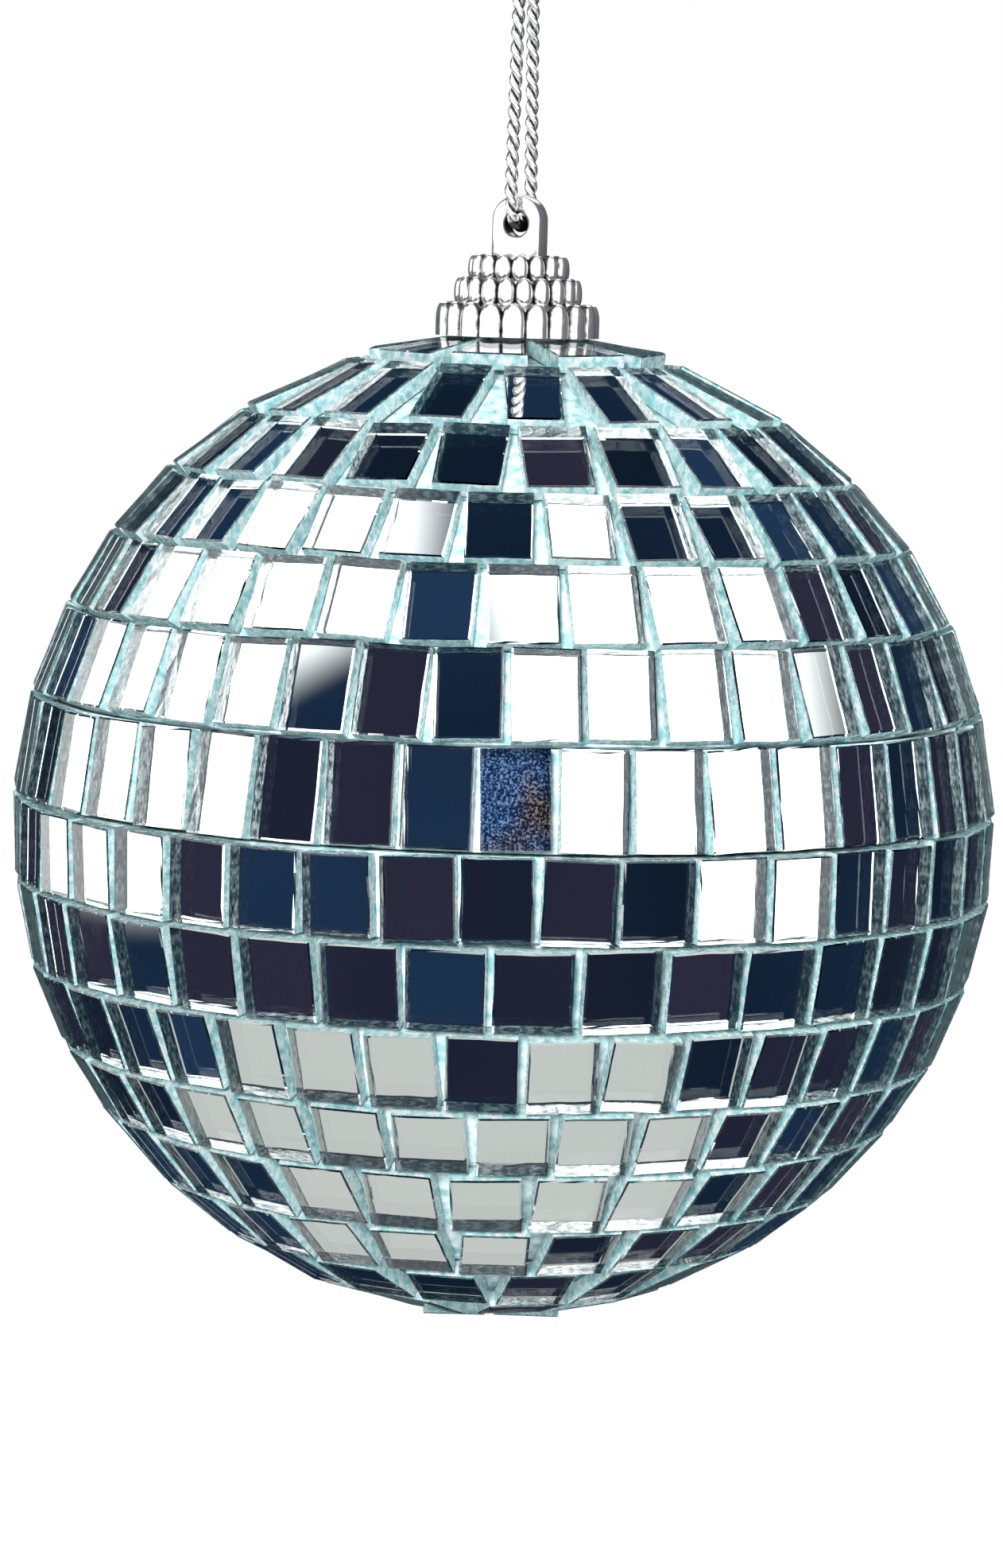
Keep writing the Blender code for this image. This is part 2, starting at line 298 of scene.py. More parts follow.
# %% [markdown]
# ## Cord
#
# The cord is two metallised plies twisted together. It goes down in front of the tab, through the eyelet and up
# behind, and both ends meet in the knot. A plain tube would lose the rope-like bumps that catch the light, so
# the tree winds two thin tubes round the route. The route's points are those of the CAD cord.

# %% Route of the cord
CORD_DIAMETER = 0.68 * MM
STRAND_ROUTE = (
    (0.00, 30.78), (0.55, 30.88), (1.05, 31.24), (1.34, 31.80), (1.40, 32.60), (1.33, 34.50),
    (1.21, 37.50), (1.06, 41.00), (0.89, 45.00), (0.72, 49.00), (0.58, 52.50), (0.48, 55.00),
)
ROUTE_STEPS = 6


def smooth_route(points, steps):
    """Points on the smooth curve that passes through all of the route's points."""
    found = []
    for index in range(len(points) - 1):
        start, end = points[index], points[index + 1]
        before = points[max(index - 1, 0)]
        after = points[min(index + 2, len(points) - 1)]
        for step in range(steps):
            t = step / steps
            lift = (end - before) * t + (2 * before - 5 * start + 4 * end - after) * t * t
            bend = (3 * start - before - 3 * end + after) * t * t * t
            found.append(start + (lift + bend) / 2)
    found.append(points[-1])
    return found


front_strand = [from_centre(0, -out * MM, height * MM) for out, height in reversed(STRAND_ROUTE)]
back_strand = [from_centre(0, out * MM, height * MM) for out, height in STRAND_ROUTE[1:]]
cord_route = smooth_route(front_strand + back_strand, ROUTE_STEPS)
cord_length = sum((b - a).length for a, b in zip(cord_route, cord_route[1:]))
print("cord length", round(cord_length / MM, 2), "mm in", len(cord_route), "points")

# %% [markdown]
# In the tree, each ply is the route pushed sideways by a vector that turns as it goes along. The turn is left
# about, which makes the plies slant the way they do in the photograph. Two attributes, the distance along the
# cord and the angle round the ply, let the material lay its fibres along the twist. A third, `groove`, grows
# towards the line where the plies touch.

# %% Tree that twists two plies along a route
PLY_SIDES = 12
PLY_STEP = 0.09 * MM
PLY_RADIUS_SHARE = 0.27
PLY_OFFSET_SHARE = 0.23
OUTSIDE_SHARE, GROOVE_SHARE = 0.5, 0.2

cord_tree, given = start_tree("twisted_cord", (
    ("Diameter", "Float"), ("Lay", "Float"), ("Step", "Float"), ("Cord Finish", "Material"),
))
route_curve = add_node(cord_tree, "GeometryNodeMeshToCurve", {"Mesh": given["Geometry"]}).outputs[0]
route_curve = add_node(
    cord_tree, "GeometryNodeResampleCurve", {"Curve": route_curve, "Length": given["Step"]}, mode="LENGTH"
).outputs[0]
place = add_node(cord_tree, "GeometryNodeInputPosition").outputs[0]
distance = add_node(cord_tree, "GeometryNodeSplineParameter").outputs["Length"]
tangent = add_node(cord_tree, "GeometryNodeInputTangent").outputs[0]
normal = add_node(cord_tree, "GeometryNodeInputNormal").outputs[0]
turns = calc(cord_tree, "DIVIDE", distance, given["Lay"])
ply_radius = calc(cord_tree, "MULTIPLY", given["Diameter"], PLY_RADIUS_SHARE)
ply_offset = calc(cord_tree, "MULTIPLY", given["Diameter"], PLY_OFFSET_SHARE)
plies = []
for half_turn in (0.0, 0.5):
    angle = calc(cord_tree, "MULTIPLY", calc(cord_tree, "ADD", turns, half_turn), -2 * math.pi)
    sideways = add_node(cord_tree, "ShaderNodeVectorRotate", {
        "Vector": normal, "Axis": tangent, "Angle": angle,
    }, rotation_type="AXIS_ANGLE").outputs[0]
    ply = store(cord_tree, route_curve, "middle", place, "FLOAT_VECTOR")
    ply = store(cord_tree, ply, "along", distance)
    ply = add_node(cord_tree, "GeometryNodeSetPosition", {
        "Geometry": ply, "Offset": calc_vector(cord_tree, "SCALE", sideways, ply_offset),
    }).outputs[0]
    round_section = add_node(
        cord_tree, "GeometryNodeCurvePrimitiveCircle", {"Resolution": PLY_SIDES, "Radius": ply_radius}
    ).outputs[0]
    section_share = add_node(cord_tree, "GeometryNodeSplineParameter").outputs["Factor"]
    round_section = store(cord_tree, round_section, "around", section_share)
    plies.append(add_node(cord_tree, "GeometryNodeCurveToMesh", {
        "Curve": ply, "Profile Curve": round_section, "Fill Caps": True,
    }).outputs[0])
both_plies = add_node(cord_tree, "GeometryNodeJoinGeometry")
for ply in plies:
    cord_tree.links.new(ply, both_plies.inputs[0])
whole_cord = realize(cord_tree, both_plies.outputs[0])
cord_middle = stored(cord_tree, "middle", "FLOAT_VECTOR")
from_middle = add_node(
    cord_tree, "ShaderNodeVectorMath", {0: place, 1: cord_middle}, operation="DISTANCE"
).outputs["Value"]
# `groove` marks where the finish paints shade between the plies.
groove_depth = add_node(cord_tree, "ShaderNodeMapRange", {
    "Value": calc(cord_tree, "DIVIDE", from_middle, given["Diameter"]),
    "From Min": OUTSIDE_SHARE, "From Max": GROOVE_SHARE,
}).outputs[0]
whole_cord = store(cord_tree, whole_cord, "groove", groove_depth)
whole_cord = add_node(
    cord_tree, "GeometryNodeSetMaterial", {"Geometry": whole_cord, "Material": given["Cord Finish"]}
).outputs[0]
end_tree(cord_tree, whole_cord)
print("cord tree has", len(cord_tree.nodes), "nodes")

# %% [markdown]
# The plies are wrapped in a silver film, so they shine like metal but with a soft, drawn-out gloss. Fine
# ridges run along each ply; they come from the stored attributes, so they follow every bend. Shade is painted
# into the groove between the plies, and the stretch of cord inside the eyelet is painted dark as shade.

# %% Silver cord finish
def attribute(tree, name):
    """A number that the piece carries at each point, as a socket."""
    return add_node(tree, "ShaderNodeAttribute", attribute_name=name).outputs["Fac"]


FIBRES_ROUND = 9.0
FIBRES_ALONG = 2200.0
EYELET_SHADE_LENGTH = 0.8 * MM

cord_finish, tree, shader = start_material("silver_cord", Metallic=0.95, Roughness=0.2)
along = attribute(tree, "along")
fibre = calc(
    tree, "MULTIPLY_ADD", attribute(tree, "around"), FIBRES_ROUND, calc(tree, "MULTIPLY", along, FIBRES_ALONG)
)
ridge = calc(tree, "SINE", calc(tree, "MULTIPLY", fibre, 2 * math.pi))
# Painted shade: the stretch of cord inside the eyelet is painted dark.
from_eyelet = calc(tree, "ABSOLUTE", calc(tree, "SUBTRACT", along, cord_length / 2))
eyelet_shade = add_node(tree, "ShaderNodeMapRange", {
    "Value": from_eyelet, "From Min": 1.5 * EYELET_SHADE_LENGTH, "From Max": EYELET_SHADE_LENGTH,
}).outputs[0]
# Painted shade in the groove between the plies, mixed with the fibre ridges and flecks of the cord's own tone.
shade_and_soiling = calc(tree, "MULTIPLY_ADD", ridge, 0.05, calc(
    tree, "ADD", attribute(tree, "groove"), between(tree, grain(tree, 4200.0), -0.1, 0.1)
))
shade_and_soiling = calc(tree, "MAXIMUM", shade_and_soiling, eyelet_shade)
shaded_soiled_silver = ramp(tree, shade_and_soiling, (0.4, (0.80, 0.80, 0.79)), (0.8, (0.06, 0.06, 0.065)))
tree.links.new(shaded_soiled_silver, shader.inputs["Base Color"])
add_relief(tree, shader, ridge, 0.5, 0.02 * MM)
print("made", cord_finish.name)

# %% [markdown]
# A tree needs something to run on. Here that is a mesh of bare edges along the route, which the tree turns into
# a curve. The lay is the length of one full turn of the plies, counted from the bumps in the photograph.

# %% Cord piece
CORD_LAY = 1.6 * MM


def line_mesh(name, *lines):
    """A mesh of open lines, for a tree that follows them."""
    mesh = bpy.data.meshes.new(name)
    points, edges = [], []
    for line in lines:
        edges += [(len(points) + i, len(points) + i + 1) for i in range(len(line) - 1)]
        points += line
    mesh.from_pydata(points, edges, [])
    return mesh


def twisted(name, *lines):
    return run_tree(name, line_mesh(name + "_line", *lines), cord_tree, **{
        "Diameter": CORD_DIAMETER, "Lay": CORD_LAY, "Step": PLY_STEP, "Cord Finish": cord_finish,
    })


cord = twisted("silver_cord_loop", cord_route)
print("cord has", len(cord.data.polygons), "faces")

# %% [markdown]
# ## Knot
#
# Above the photograph's edge the two strands are drawn together. One end is wound three times round the other
# and both come out at the top, which is a barrel knot. The same tree makes it, along two lines: a core that
# runs nearly straight and an end that winds round it.

# %% Barrel knot with two tails
KNOT_LOW = 55.65 * MM
KNOT_HIGH = 57.75 * MM
KNOT_TURNS = 3
WRAP_RADIUS = 0.72 * MM
TAIL_TOP = 60.3 * MM
TAIL_SPREAD = 0.95 * MM
KNOT_STEPS = 20
CORE_ROUTE_STEPS = 8
WRAP_ROUTE_STEPS = 3

knot_core = [
    from_centre(0, -0.48 * MM, 55.0 * MM),
    from_centre(0, -0.14 * MM, 55.7 * MM),
    from_centre(0, 0, 56.7 * MM),
    from_centre(0, -0.1 * MM, 57.8 * MM),
    from_centre(0.1 * MM, -0.5 * MM, 59.0 * MM),
    from_centre(0.15 * MM, -TAIL_SPREAD, TAIL_TOP),
]
knot_wrap = [from_centre(0, 0.48 * MM, 55.0 * MM)]
for step in range(KNOT_TURNS * KNOT_STEPS + 1):
    share = step / (KNOT_TURNS * KNOT_STEPS)
    angle = 2 * math.pi * KNOT_TURNS * share + math.pi / 2
    reach = WRAP_RADIUS * (0.86 + 0.14 * math.sin(math.pi * share))
    height = KNOT_LOW + (KNOT_HIGH - KNOT_LOW) * share
    knot_wrap.append(from_centre(reach * math.cos(angle), reach * math.sin(angle), height))
knot_wrap += [
    from_centre(-0.1 * MM, 0.5 * MM, 58.7 * MM),
    from_centre(-0.2 * MM, 0.75 * MM, 59.5 * MM),
    from_centre(-0.2 * MM, TAIL_SPREAD, TAIL_TOP),
]
knot = twisted(
    "barrel_knot", smooth_route(knot_core, CORE_ROUTE_STEPS), smooth_route(knot_wrap, WRAP_ROUTE_STEPS)
)
print("knot has", len(knot.data.polygons), "faces")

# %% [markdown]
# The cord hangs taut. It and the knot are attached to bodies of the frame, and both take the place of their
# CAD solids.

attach(cord, "cord_loop")
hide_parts("hanging_cord")
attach(knot, "hang_knot")
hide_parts("cord_knot")
print("declared", cord.name, "with", knot.name)

# %% [markdown]
# ## Mirror tiles
#
# Each tile is a chip of glass about a millimetre thick, silvered on its back and cut on all four sides. What
# looks like a mirror is therefore a clear face, a bright layer behind it, and aqua walls that show in the gaps.
# A mirror painted on the front would lose those walls, so the tile is a closed chip of glass with three
# finishes. It has few faces, because there are hundreds of tiles.

# %% [markdown]
# The clear face is all but colourless. Handling leaves faint smudges on it, which only change its gloss a
# little. `tile_tone`, a random number that each tile carries, makes one chip of glass greener than the next.

# %% Finish of the clear face
TILE_TONE = "tile_tone"

clear_face, tree, shader = start_material("clear_glass_face", IOR=1.5, Transmission_Weight=1.0)
glass_tint = ramp(tree, attribute(tree, TILE_TONE), (0.0, (0.90, 0.975, 0.965)), (1.0, (0.96, 0.99, 0.99)))
tree.links.new(glass_tint, shader.inputs["Base Color"])
smudge = grain(tree, 260.0, 4.0, 0.55, 0.8)
tree.links.new(between(tree, smudge, 0.0, 0.05), shader.inputs["Roughness"])
print("made", clear_face.name)

# %% [markdown]
# The cut walls are snapped glass, crushed to a pale aqua frost with fine hackle marks. The frost scatters light
# as ground glass does, and lets some of it through. Seen from inside, through the tile's face, the same wall is
# painted a darker, deep teal as shade, for the light that has crossed the glass first. Backfacing tells the
# shader which side it is on.

# %% Finish of the cut edges
cut_edge, tree, shader = start_material("cut_glass_edge", IOR=1.5, Transmission_Weight=0.5)
hackle = grain(tree, 2600.0, 3.0)
frost = ramp(tree, hackle, (0.0, (0.25, 0.58, 0.61)), (0.45, (0.58, 0.88, 0.89)), (0.8, (0.96, 1.0, 1.0)))
# Painted shade: a darker copy of the frost for the wall seen from inside the glass.
depth = ramp(tree, hackle, (0.0, (0.03, 0.09, 0.12)), (0.5, (0.15, 0.36, 0.40)), (0.9, (0.60, 0.90, 0.92)))
from_inside = add_node(tree, "ShaderNodeNewGeometry").outputs["Backfacing"]
tree.links.new(mix_colors(tree, from_inside, frost, depth), shader.inputs["Base Color"])
tree.links.new(between(tree, hackle, 0.08, 0.4), shader.inputs["Roughness"])
add_relief(tree, shader, hackle, 0.5, 0.02 * MM)
print("made", cut_edge.name)

# %% [markdown]
# The silvering is a nearly perfect mirror. On one tile near the middle it has broken up into blue and brown
# specks. There, where the `spoiled` attribute is set, roughness and colour follow a speckle.

# %% Finish of the silvering
SPOILED = "spoiled"
CLEAN_SILVER = (0.93, 0.945, 0.94, 1)

silvering, tree, shader = start_material("silvered_back", Metallic=1.0)
spoiled = attribute(tree, SPOILED)
specks = grain(tree, 9000.0, 0.0, 0.25, 0.75)
blue_specks = ramp(
    tree, specks, (0.2, (0.02, 0.05, 0.14)), (0.55, (0.06, 0.17, 0.42)), (0.9, (0.45, 0.62, 0.95))
)
brown_specks = ramp(
    tree, specks, (0.2, (0.03, 0.02, 0.03)), (0.55, (0.16, 0.11, 0.13)), (0.9, (0.62, 0.47, 0.42))
)
speck_color = mix_colors(tree, grain(tree, 380.0, 0.0, 0.5, 0.75), blue_specks, brown_specks)
tree.links.new(mix_colors(tree, spoiled, CLEAN_SILVER, speck_color), shader.inputs["Base Color"])
tree.links.new(between(tree, spoiled, 0.01, 0.6), shader.inputs["Roughness"])
print("made", silvering.name)

# %% [markdown]
# One blank tile is drawn, one unit in each direction, and the tree scales it. The corners between its
# face and its walls are ground off a little, as they are when the cutter breaks the sharp edge. These narrow
# flats are as clear as the face, and bend what is behind them into a fine line round each tile.

# %% One blank tile
SIDE_STEPS = 4
ARRIS = 0.08 * MM
NOMINAL_TILE = (3.4 * MM, 1.0 * MM, 4.2 * MM)
FRONT, CUT, BACK = 0, 1, 2
CORNERS = ((-0.5, -0.5), (0.5, -0.5), (0.5, 0.5), (-0.5, 0.5))


def tile_blank():
    """One tile, one unit wide, thick and high: silvered back, cut walls, a narrow arris and the front."""
    square = []
    for (x0, z0), (x1, z1) in zip(CORNERS, CORNERS[1:] + CORNERS[:1]):
        for step in range(SIDE_STEPS):
            share = step / SIDE_STEPS
            square.append((x0 + (x1 - x0) * share, z0 + (z1 - z0) * share))
    width, thickness, height = NOMINAL_TILE
    levels = (
        (0, 1, 1),
        (1 - ARRIS / thickness, 1, 1),
        (1, 1 - 2 * ARRIS / width, 1 - 2 * ARRIS / height),
    )
    bm = bmesh.new()
    side = bm.faces.layers.int.new("side")
    rings = []
    for depth, scale_x, scale_z in levels:
        rings.append([bm.verts.new((x * scale_x, depth, z * scale_z)) for x, z in square])
    bm.faces.new(rings[0])[side] = BACK
    bm.faces.new(rings[-1])[side] = FRONT
    for kind, low, high in zip((CUT, FRONT), rings, rings[1:]):
        for i in range(len(square)):
            j = (i + 1) % len(square)
            bm.faces.new((low[j], low[i], high[i], high[j]))[side] = kind
    bmesh.ops.recalc_face_normals(bm, faces=bm.faces)
    return mesh_from(bm, "tile_blank")


blank = tile_blank()
print("one tile has", len(blank.polygons), "faces")

# %% [markdown]
# A real strip is laid flat before it is wrapped, so the tree does the same. It sets a row of tiles side by
# side, gives each its small faults of cutting and laying, and then stands them round the ball at the row's
# latitude. A fixed seed keeps the faults the same on every run.

# %% Inputs of the tile tree
LAYING_PITCH = 10.0
NARROWEST_CUT = 0.95

row_tree, given = start_tree("tile_row", (
    ("Count", "Int"), ("Joint Angle", "Float"), ("Latitude", "Float"),
    ("Width", "Float"), ("Narrow Width", "Float"), ("Narrow Side", "Float"), ("Height", "Float"),
    ("Thickness", "Float"), ("Back Distance", "Float"), ("Sideways", "Float"), ("Uphill", "Float"),
    ("Lift", "Float"), ("Lean", "Float"), ("Slip", "Float"), ("Chip", "Float"), ("Seed", "Int"),
    ("Spoiled Tile", "Int"), ("Clear Face", "Material"), ("Cut Edge", "Material"), ("Silvering", "Material"),
))
row_index = add_node(row_tree, "GeometryNodeInputIndex").outputs[0]
tile_number = stored(row_tree, "tile", "INT")


def xyz(vector):
    return add_node(row_tree, "ShaderNodeSeparateXYZ", {0: vector}).outputs


def vector_of(x, y, z):
    return add_node(row_tree, "ShaderNodeCombineXYZ", {0: x, 1: y, 2: z}).outputs[0]


def turned_about(axis, vector, angle):
    return add_node(
        row_tree, "ShaderNodeVectorRotate", {"Vector": vector, "Angle": angle}, rotation_type=axis + "_AXIS"
    ).outputs[0]


def random_for_tile(shift, scale):
    """Three random numbers for each tile, from minus to plus the scale."""
    drawn = add_node(row_tree, "FunctionNodeRandomValue", {
        "Min": (-1, -1, -1), "Max": (1, 1, 1), "ID": tile_number,
        "Seed": calc(row_tree, "ADD", given["Seed"], shift),
    }, data_type="FLOAT_VECTOR").outputs["Value"]
    return xyz(calc_vector(row_tree, "SCALE", drawn, scale))


print("tile tree has", len(row_tree.interface.items_tree), "inputs and outputs")

# %% [markdown]
# The strip starts as a line of points, one for each tile, so far apart that no two blanks touch. Each corner
# then knows which tile it belongs to, and where on that tile it is.

# %% Lay the tiles flat
flat_place = vector_of(calc(row_tree, "MULTIPLY", row_index, LAYING_PITCH), 0.0, 0.0)
places = add_node(row_tree, "GeometryNodePoints", {"Count": given["Count"], "Position": flat_place}).outputs[0]
places = store(row_tree, places, "tile", row_index, "INT")
laid = add_node(
    row_tree, "GeometryNodeInstanceOnPoints", {"Points": places, "Instance": given["Geometry"]}
).outputs[0]
laid = realize(row_tree, laid)
position = add_node(row_tree, "GeometryNodeInputPosition").outputs[0]
tile_place = vector_of(calc(row_tree, "MULTIPLY", tile_number, LAYING_PITCH), 0.0, 0.0)
unit = xyz(calc_vector(row_tree, "SUBTRACT", position, tile_place))
print("nodes that lay the tiles:", len(row_tree.nodes))

# %% [markdown]
# Glass is scored and snapped by hand, so no two tiles are quite the same size, and their edges wander. Towards
# the poles a strip is shorter along one edge than along the other, so its tiles taper.

# %% Cut each tile a little differently
toward_narrow = calc(row_tree, "MULTIPLY_ADD", unit[2], given["Narrow Side"], 0.5)
width = add_node(row_tree, "ShaderNodeMapRange", {
    "Value": toward_narrow, "To Min": given["Width"], "To Max": given["Narrow Width"],
}).outputs[0]
cutting = random_for_tile(11, (1 - NARROWEST_CUT) / 2)
width = calc(row_tree, "MULTIPLY", width, calc(row_tree, "ADD", cutting[0], (1 + NARROWEST_CUT) / 2))
height = calc(row_tree, "MULTIPLY", given["Height"], calc(row_tree, "ADD", cutting[1], (1 + NARROWEST_CUT) / 2))
chip_place = calc_vector(row_tree, "ADD", position, vector_of(0.0, given["Seed"], 0.0))
chips = add_node(
    row_tree, "ShaderNodeTexNoise", {"Vector": chip_place, "Scale": 3.1, "Detail": 3.0}
).outputs["Color"]
chips = calc_vector(row_tree, "SUBTRACT", chips, (0.5, 0.5, 0.5))
chips = xyz(calc_vector(row_tree, "SCALE", chips, given["Chip"]))
tile_point = vector_of(
    calc(row_tree, "MULTIPLY_ADD", unit[0], width, chips[0]),
    calc(row_tree, "MULTIPLY", unit[1], given["Thickness"]),
    calc(row_tree, "MULTIPLY_ADD", unit[2], height, chips[2]),
)
print("nodes that lay and cut them:", len(row_tree.nodes))

# %% [markdown]
# A tile that is pressed into glue leans a degree or two and slips a little. The lean makes one tile flash while
# its neighbour stays dark, so it matters more than any other fault.

# %% Lay each tile a little askew, then wrap the strip round the ball
leaning = random_for_tile(23, given["Lean"])
for axis, angle in zip("XYZ", leaning):
    tile_point = turned_about(axis, tile_point, angle)
slipping = random_for_tile(37, given["Slip"])
tile_point = calc_vector(row_tree, "ADD", tile_point, vector_of(
    calc(row_tree, "ADD", slipping[0], given["Sideways"]),
    given["Back Distance"],
    calc(row_tree, "ADD", slipping[2], given["Uphill"]),
))
round_share = calc(row_tree, "DIVIDE", calc(row_tree, "ADD", tile_number, 0.5), given["Count"])
round_angle = calc(row_tree, "MULTIPLY_ADD", round_share, 2 * math.pi, given["Joint Angle"])
tile_point = turned_about("Z", turned_about("X", tile_point, given["Latitude"]), round_angle)
tile_point = calc_vector(row_tree, "ADD", tile_point, vector_of(0.0, 0.0, given["Lift"]))
wrapped = add_node(row_tree, "GeometryNodeSetPosition", {"Geometry": laid, "Position": tile_point}).outputs[0]
print("nodes that lay, cut and wrap them:", len(row_tree.nodes))

# %% [markdown]
# Each face carries a number from the blank that says whether it is front, cut wall or back. It takes its finish
# by that number, after the tile's own tone has been stored for the glass.

# %% Give the tiles their finishes
tone = add_node(
    row_tree, "FunctionNodeRandomValue", {"ID": tile_number, "Seed": given["Seed"]}, data_type="FLOAT"
).outputs[1]
is_spoiled = calc(row_tree, "COMPARE", tile_number, given["Spoiled Tile"], 0.1)
wrapped = store(row_tree, wrapped, TILE_TONE, tone)
wrapped = store(row_tree, wrapped, SPOILED, is_spoiled)
wrapped = realize(row_tree, wrapped)
side = stored(row_tree, "side", "INT")
for kind, finish in ((FRONT, "Clear Face"), (CUT, "Cut Edge"), (BACK, "Silvering")):
    wrapped = add_node(row_tree, "GeometryNodeSetMaterial", {
        "Geometry": wrapped, "Selection": calc(row_tree, "COMPARE", side, kind, 0.1), "Material": given[finish],
    }).outputs[0]
end_tree(row_tree, wrapped)
print("tile tree has", len(row_tree.nodes), "nodes")

# %% [markdown]
# Fifteen strips go round the ball, from under the cap to the underside. The table gives each strip's upper
# latitude, its number of tiles and where one joint falls, as in the CAD model. Tiles nearly touch at their
# backs, and because neighbours lean away from each other, a V-shaped gap opens towards the front.

# %% Rows of tiles
TILE_FRONT = 25.17 * MM
TILE_THICKNESS = 0.85 * MM
TILE_BACK = TILE_FRONT - TILE_THICKNESS
POLAR_TILE_WIDTH = 4.0 * MM
TILE_JOINT = 0.14 * MM
ROW_JOINT = 0.10 * MM
TILE_LEAN = math.radians(1.9)
TILE_SLIP = 0.05 * MM
TILE_CHIP = 0.16 * MM
ROWS = (
    (83, 9, 31), (71, 17, 15), (57, 24, 21), (46, 31, 25), (36, 34, 28),
    (26, 40, 21), (15, 42, 18), (3, 41, 25), (-7, 37, 20), (-17, 38, 24),
    (-27, 34, 18), (-36, 29, 26), (-46, 24, 29), (-56, 17, 21), (-67, 9, 12),
)
ROW_SEEDS = (41, 119, 112, 21, 117, 52, 115, 103, 22, 88, 110, 57, 120, 54, 55)
LAST_EDGE = -78
LOWER_EDGES = [row[0] for row in ROWS[1:]] + [LAST_EDGE]
SHARED_TILE_INPUTS = {
    "Thickness": TILE_THICKNESS, "Back Distance": TILE_BACK, "Lift": -HOOK_SEAT,
    "Lean": TILE_LEAN, "Slip": TILE_SLIP, "Chip": TILE_CHIP, "Spoiled Tile": -1,
    "Clear Face": clear_face, "Cut Edge": cut_edge, "Silvering": silvering,
}
SPOILED_TILES = {7: 0}
TOP_ROW_SEAT = {
    "Latitude": math.radians(81), "Uphill": -1.16 * MM, "Back Distance": TILE_BACK + 0.12 * MM,
}


def lay_tiles(name, node, **inputs):
    """Runs the tile tree and puts the strip on the ball in place of its CAD node."""
    tiles = run_tree(name, blank, row_tree, **{**SHARED_TILE_INPUTS, **inputs})
    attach(tiles, "ball")
    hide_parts(node)
    return tiles


tile_total = 0
for number, ((upper, count, joint_angle), lower) in enumerate(zip(ROWS, LOWER_EDGES), 1):
    latitude = math.radians((upper + lower) / 2)
    half_tile = TILE_BACK * math.tan(math.radians((upper - lower) / 2)) - ROW_JOINT / 2
    narrow_side = math.copysign(1, latitude)
    narrow_radius = TILE_BACK * math.cos(latitude) - half_tile * math.sin(latitude) * narrow_side
    narrow = 2 * math.pi * narrow_radius / count - TILE_JOINT
    lay_tiles(f"mirror_row_{number:02d}", f"tile_row_{number:02d}", **{
        "Count": count, "Joint Angle": math.radians(joint_angle - 180), "Latitude": latitude,
        "Width": POLAR_TILE_WIDTH if number in (1, len(ROWS)) else narrow, "Narrow Width": narrow,
        "Narrow Side": narrow_side, "Height": 2 * half_tile, "Seed": ROW_SEEDS[number - 1],
        "Spoiled Tile": SPOILED_TILES.get(number, -1),
        **(TOP_ROW_SEAT if number == 1 else {}),
    })
    tile_total += count
print("laid", tile_total, "tiles in", len(ROWS), "rows")

# %% [markdown]
# The last strip leaves a hole on the underside, which four square tiles close. The same tree lays them: at the
# pole, its four turns put one tile into each quarter of a square. A straight side of it faces the camera.

# %% Patch of four tiles on the underside
PATCH_TILE = 3.4 * MM
PATCH_JOINT = 0.25 * MM
PATCH_TILES = 4
PATCH_TURN = math.radians(66)
PATCH_LEAN = TILE_LEAN / 3
PATCH_SEED = 40

patch = lay_tiles("mirror_pole_patch", "pole_patch", **{
    "Count": PATCH_TILES, "Latitude": math.radians(-90), "Joint Angle": PATCH_TURN,
    "Seed": PATCH_SEED, "Lean": PATCH_LEAN,
    "Width": PATCH_TILE, "Narrow Width": PATCH_TILE, "Narrow Side": 1.0, "Height": PATCH_TILE,
    "Sideways": (PATCH_TILE + PATCH_JOINT) / 2, "Uphill": (PATCH_TILE + PATCH_JOINT) / 2,
})
print("patch has", len(patch.data.polygons), "faces")

# %% [markdown]
# ## Backing, core and glue
#
# Under the glass is a thin white film that holds each strip together; it closes the bottom of every gap. The
# film is a plain ring for each row, so a short loop makes all of them in one mesh.

# %% Adhesive backing
BACKING_INNER = 23.7 * MM
BACKING_OUTER = 24.2 * MM
BACKING_GAP = 0.06 * MM
PATCH_BACKING_RADIUS = 4.7 * MM
FILM_SIDES = 24


def add_ring(bm, profile, steps, turn):
    """A closed ring from a profile of (radius, height), with its faces pointing out."""
    rings = []
    for step in range(steps):
        angle = turn + 2 * math.pi * step / steps
        rings.append([
            bm.verts.new(from_centre(r * math.cos(angle), r * math.sin(angle), z)) for r, z in profile
        ])
    for step, ring in enumerate(rings):
        following = rings[(step + 1) % steps]
        for i in range(len(profile)):
            j = (i + 1) % len(profile)
            bm.faces.new((ring[i], following[i], following[j], ring[j]))


bm = bmesh.new()
for (upper, count, joint_angle), lower in zip(ROWS, LOWER_EDGES):
    latitude = math.radians((upper + lower) / 2)
    half_span = math.radians((upper - lower) / 2)
    half_height = BACKING_INNER * math.tan(half_span) - BACKING_GAP / 2
    profile = []
    for distance, side in ((BACKING_OUTER, 1), (BACKING_OUTER, -1), (BACKING_INNER, -1), (BACKING_INNER, 1)):
        radius = distance * math.cos(latitude) - half_height * side * math.sin(latitude)
        profile.append((radius, distance * math.sin(latitude) + half_height * side * math.cos(latitude)))
    add_ring(bm, profile, count * math.ceil(FILM_SIDES / count), math.radians(joint_angle - 90))
bmesh.ops.create_cone(
    bm, cap_ends=True, segments=FILM_SIDES, radius1=PATCH_BACKING_RADIUS, radius2=PATCH_BACKING_RADIUS,
    depth=BACKING_OUTER - BACKING_INNER,
    matrix=Matrix.Translation(from_centre(0, 0, -(BACKING_OUTER + BACKING_INNER) / 2)),
)
bmesh.ops.recalc_face_normals(bm, faces=bm.faces)
backing = link_piece("adhesive_backing", mesh_from(bm, "adhesive_backing"))
print("backing has", len(backing.data.polygons), "faces")
